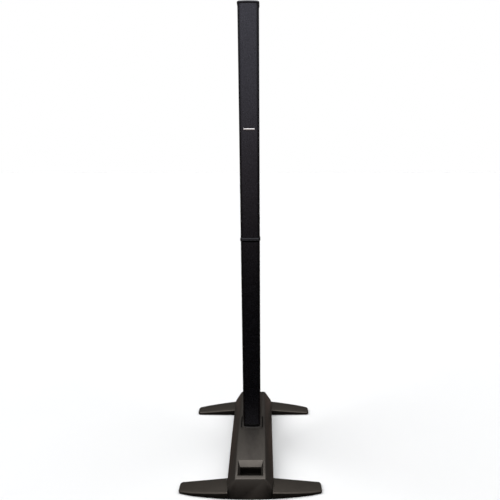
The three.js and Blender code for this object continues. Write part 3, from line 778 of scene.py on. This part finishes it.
PANEL_TALL = 0.042  # from the middle of the panel to its upper and lower edges
SCREW_INSET = 0.0045
panel_half = (panel_hi.x - panel_lo.x) / 2
panel_corners = [(sx * (panel_half - SCREW_INSET), sy * (PANEL_TALL - SCREW_INSET))
                 for sx in (-1, 1) for sy in (-1, 1)]
screws("panel_screws", "base", [(panel_point(x, y), panel_out) for x, y in panel_corners])

# What is printed on the panel is a thin film with a fine edge
INK_FILM, INK_EDGE = 0.00012, 0.00003
marks = []

# Round each knob: ticks over its turn, every fifth one longer, ribs for the fingers, and a pointer on top
KNOB_TURN = 270
TICKS = 11
TICK_HALF = 0.0002
TICK_FROM, TICK_TO, LONG_TICK_TO = 0.0081, 0.0092, 0.0097
RIBS = 18
RIB_HALF = 0.0004
RIB_FROM, RIB_TO = 0.0060, 0.0068
RIB_LOW, RIB_HIGH = 0.0014, 0.0104
POINTER_HALF = 0.0005
POINTER_FROM, POINTER_TO = 0.0018, 0.0052
POINTER_LOW, POINTER_HIGH = 0.0108, 0.0112
for knob in ("trim_knob_1", "trim_knob_2"):
    x, y = panel_place(knob)
    for i in range(TICKS):
        angle = math.radians(-KNOB_TURN / 2 + KNOB_TURN / (TICKS - 1) * i)
        tick = block("tick", -TICK_HALF, TICK_HALF, TICK_FROM, TICK_TO if i % 5 else LONG_TICK_TO,
                     0.0, INK_FILM, INK_EDGE)
        tick.data.transform(Matrix.Translation((x, y, 0.0)) @ Matrix.Rotation(-angle, 4, "Z"))
        marks.append(tick)
    ribs = []
    for i in range(RIBS):
        angle = math.radians(360 / RIBS * i)
        rib = block("rib", -RIB_HALF, RIB_HALF, RIB_FROM, RIB_TO, RIB_LOW, RIB_HIGH, 0.0002)
        rib.data.transform(Matrix.Translation((x, y, 0.0)) @ Matrix.Rotation(angle, 4, "Z"))
        ribs.append(rib)
    body = BODY_OF[knob]
    print_on_panel(knob + "_ribs", ribs, MATERIALS["rubber"], body)
    pointer = block("pointer", x - POINTER_HALF, x + POINTER_HALF, y + POINTER_FROM, y + POINTER_TO,
                    POINTER_LOW, POINTER_HIGH, 0.0001)
    print_on_panel(knob + "_pointer", [pointer], INK, body)

# At each combination input: one dot or two printed beside it, three contacts deep inside, and a latch
DOT_RADIUS, DOT_STEP = 0.0006, 0.0022
DOT_ASIDE, DOT_AWAY = 0.0125, 0.0135
CONTACT_CIRCLE, CONTACT_RADIUS = 0.0063, 0.0011
CONTACT_LOW, CONTACT_HIGH = -0.0111, -0.0104
LATCH_HALF = 0.0021
LATCH_FROM, LATCH_TO = 0.0088, 0.0128
LATCH_LOW, LATCH_HIGH = 0.0014, 0.0030
for node, dots in (("combo_input_1", 1), ("combo_input_2", 2)):
    x, y = panel_place(node)
    dot_y = y + math.copysign(DOT_AWAY, y)
    marks += [disc(x - DOT_ASIDE - DOT_STEP * i, dot_y, DOT_RADIUS, 0.0, INK_FILM) for i in range(dots)]
    pins = []
    for angle in (90, 210, 330):
        a = math.radians(angle)
        pins.append(disc(x + CONTACT_CIRCLE * math.cos(a), y + CONTACT_CIRCLE * math.sin(a),
                         CONTACT_RADIUS, CONTACT_LOW, CONTACT_HIGH))
    print_on_panel(node + "_contacts", pins, BRASS)
    latch = block("latch", x - LATCH_HALF, x + LATCH_HALF, y + LATCH_FROM, y + LATCH_TO,
                  LATCH_LOW, LATCH_HIGH, 0.0003)
    print_on_panel(node + "_latch", [latch], MATERIALS["steel"], "base")

# A small triangle at each output, and a line between the mains side of the panel and the rest
ARROW_RADIUS = 0.0011
for node, offset in (("speaker_output", -0.0162), ("line_output", 0.0098)):
    x, y = panel_place(node)
    marks.append(disc(x, y + offset, ARROW_RADIUS, 0.0, INK_FILM, 3))

DIVIDER_ASIDE, DIVIDER_HALF = 0.0167, 0.00015
DIVIDER_REACH = PANEL_TALL - 0.006
inlet_x, inlet_y = panel_place("mains_inlet")
divider = inlet_x + DIVIDER_ASIDE
marks.append(block("divider", divider - DIVIDER_HALF, divider + DIVIDER_HALF, -DIVIDER_REACH, DIVIDER_REACH,
                   0.0, INK_FILM, INK_EDGE))
print_on_panel("panel_marks", marks, INK)

# A thin skin of steel over the inlet's three blades, which are one solid with the inlet
BLADE_SKIN = 0.00006
BLADE_HALF = 0.001 + BLADE_SKIN
BLADE_TALL = 0.004
BLADE_ROOT, BLADE_TIP = -0.0158, -0.003 + BLADE_SKIN
blades = []
for offset, low in ((-0.007, -0.004), (0.0, 0.0), (0.007, -0.004)):
    blades.append(block("blade", inlet_x + offset - BLADE_HALF, inlet_x + offset + BLADE_HALF,
                        inlet_y + low - BLADE_SKIN, inlet_y + low + BLADE_TALL + BLADE_SKIN,
                        BLADE_ROOT, BLADE_TIP, 0.0002))
print_on_panel("mains_blades", blades, MATERIALS["steel"], "base")

# Off and on marks on the two halves of the rocker: a ring and a bar
RING_OUTER, RING_INNER = 0.0017, 0.0012
BAR_HALF = 0.00028
rocker_x, rocker_y = panel_place("power_rocker")
for name, offset in (("rocker_off_mark", 0.0050), ("rocker_on_mark", -0.0045)):
    above = panel_point(rocker_x, rocker_y + offset, 0.02)
    point, normal = surface("power_rocker", above, -panel_out)
    if name == "rocker_off_mark":
        mark = disc(0.0, 0.0, RING_OUTER, 0.0, INK_FILM, 28)
        cut_out(mark, disc(0.0, 0.0, RING_INNER, -0.001, 0.001, 28))
    else:
        mark = block("bar", -RING_OUTER, RING_OUTER, -BAR_HALF, BAR_HALF, 0.0, INK_FILM, INK_EDGE)
        mark.data.transform(Matrix.Rotation(math.pi / 2, 4, "Z"))
    moved(mark, point, normal)
    extra(mark, "rocker", INK).name = name

# Screws up the back of each housing and under the bottom plate
BACK = Vector((0.0, 1.0, 0.0))
DOWN = Vector((0.0, 0.0, -1.0))
for name in ("lower_housing", "upper_housing"):
    lo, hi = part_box(name)
    heights = [lo.z + 0.030, lo.z + 0.36 * (hi.z - lo.z), lo.z + 0.64 * (hi.z - lo.z), hi.z - 0.030]
    spots = [(Vector((0.0, COLUMN_Y + COLUMN_DEPTH, z)), BACK) for z in heights]
    screws(name + "_screws", BODY_OF[name], spots, 0.0030, 0.0009)

plate_lo, plate_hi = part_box("base_bottom_plate")
spots = []
for x in (plate_lo.x + 0.006, plate_hi.x - 0.006):
    for share in (0.06, 0.35, 0.65, 0.94):
        y = plate_lo.y + share * (plate_hi.y - plate_lo.y)
        spots.append((Vector((x, y, plate_lo.z)), DOWN))
screws("bottom_screws", "base", spots, 0.0028, 0.0009)

# CAD pieces that keep their shape and take a finish
for name, node in NODES.items():
    if not node.hide_render:
        node.data.materials.clear()
        node.data.materials.append(MATERIALS[SLOT_OF[name]])


# ------------------------------------------------------------------ stage, light and camera
bm = bmesh.new()
bmesh.ops.create_grid(bm, x_segments=1, y_segments=1, size=40.0)
floor = add("floor", bm)
floor_graph = Finish("floor_paper")
paper = floor_graph.mix(floor_graph.noise(2.0), (0.84, 0.845, 0.85), (0.86, 0.865, 0.87))
floor.data.materials.append(floor_graph.set(Base_Color=paper, Roughness=0.9))
floor_graph.bsdf.inputs["Specular IOR Level"].default_value = 0.0
floor.visible_glossy = False
floor.visible_diffuse = False


# A studio dome, for reflections only: dark low in front, a broad soft panel almost overhead and a little
# to the front, a dim wall behind that brightens high up, and a warm patch low behind on the right.
world = bpy.data.worlds.new("studio")
scene.world = world
world.use_nodes = True
sky = Graph(world.node_tree)
towards = sky.coords("Generated")
split = sky.node("ShaderNodeSeparateXYZ", Vector=towards)
height, depth = split.outputs["Z"], split.outputs["Y"]
ahead = sky.smooth(height, -0.343, 0.43, 0.0, 1.08)
behind = sky.smooth(height, 0.5, 0.948, 0.123, 1.08)
side = sky.smooth(depth, -0.229, 0.201, 0.0, 1.0)
wall = sky.math("ADD", ahead, sky.math("MULTIPLY", side, sky.math("SUBTRACT", behind, ahead)))
panel_aim = Vector((-0.021, -0.262, 0.965)).normalized()
near = sky.node("ShaderNodeVectorMath", i0=towards, i1=panel_aim)
near.operation = "DOT_PRODUCT"
panel_middle_glow = sky.smooth(near.outputs["Value"], 0.715, 0.98, 0.0, 4.91)
panel = sky.math("MULTIPLY", panel_middle_glow, sky.smooth(height, 0.46, 0.773, 0.0, 1.0))
patch_side = sky.smooth(split.outputs["X"], 0.15, 0.45, 0.0, 0.07)
patch = sky.math("MULTIPLY", patch_side, sky.smooth(depth, 0.45, 0.75, 0.0, 1.0))
patch = sky.math("MULTIPLY", patch, sky.smooth(height, -0.35, -0.05, 1.0, 0.0))
glow = sky.math("ADD", sky.math("ADD", wall, panel), patch)
warmth = sky.mix(sky.smooth(height, -0.25, 0.3, 0.0, 1.0), (1.0, 0.72, 0.62), (1.0, 0.985, 0.97))
lit = sky.node("ShaderNodeBackground", Color=warmth, Strength=glow)
seen = sky.node("ShaderNodeBackground", Color=(1, 1, 1, 1), Strength=1.0)
mixer = sky.node("ShaderNodeMixShader", i0=sky.node("ShaderNodeLightPath").outputs["Is Camera Ray"],
                 i1=lit.outputs[0], i2=seen.outputs[0])
sky.node("ShaderNodeOutputWorld", Surface=mixer.outputs[0])
world.cycles_visibility.diffuse = False

# Broad soft lights for the matt surfaces: overhead, and a stronger one from the left than from the right.


def soft_light(name, aim, strength, half_angle):
    """A distant light from the direction of aim, as wide as a softbox close by."""
    data = bpy.data.lights.new(name, "SUN")
    data.energy = strength
    data.angle = math.radians(2 * half_angle)
    lamp = bpy.data.objects.new(name, data)
    lamp.matrix_world = Vector(aim).to_track_quat("Z", "Y").to_matrix().to_4x4()
    lamp.visible_glossy = False
    scene.collection.objects.link(lamp)


soft_light("left_light", (-1.0, 0.0, 1.0), 1.82, 20)
soft_light("right_light", (1.0, 0.0, 1.0), 0.91, 20)
soft_light("top_light", (0.0, 0.0, 1.0), 1.80, 30)

# The camera stands in front, a little to the right, at about seven tenths of the column's height
SENSOR_WIDTH = 36.0
FOCAL_SHARE = 0.76374  # focal length over the width of the picture
CAMERA_AT = (0.0629, -1.7870, 1.5262)
PITCH, YAW, ROLL = math.radians(12.684), math.radians(-0.008), math.radians(-0.084)

camera_data = bpy.data.cameras.new("camera")
camera_data.sensor_width = SENSOR_WIDTH
camera_data.lens = SENSOR_WIDTH * FOCAL_SHARE
camera_data.shift_x = -0.02686
camera_data.shift_y = -0.0123
camera_data.clip_end = 60.0
camera = bpy.data.objects.new("camera", camera_data)
scene.collection.objects.link(camera)
forward = Vector((math.sin(YAW) * math.cos(PITCH), math.cos(YAW) * math.cos(PITCH), -math.sin(PITCH)))
right = Vector((math.cos(YAW), -math.sin(YAW), 0.0))
up = right.cross(forward)
right, up = math.cos(ROLL) * right + math.sin(ROLL) * up, -math.sin(ROLL) * right + math.cos(ROLL) * up
turn = Matrix((right, up, -forward)).transposed().to_4x4()
camera.matrix_world = Matrix.Translation(CAMERA_AT) @ turn
scene.camera = camera
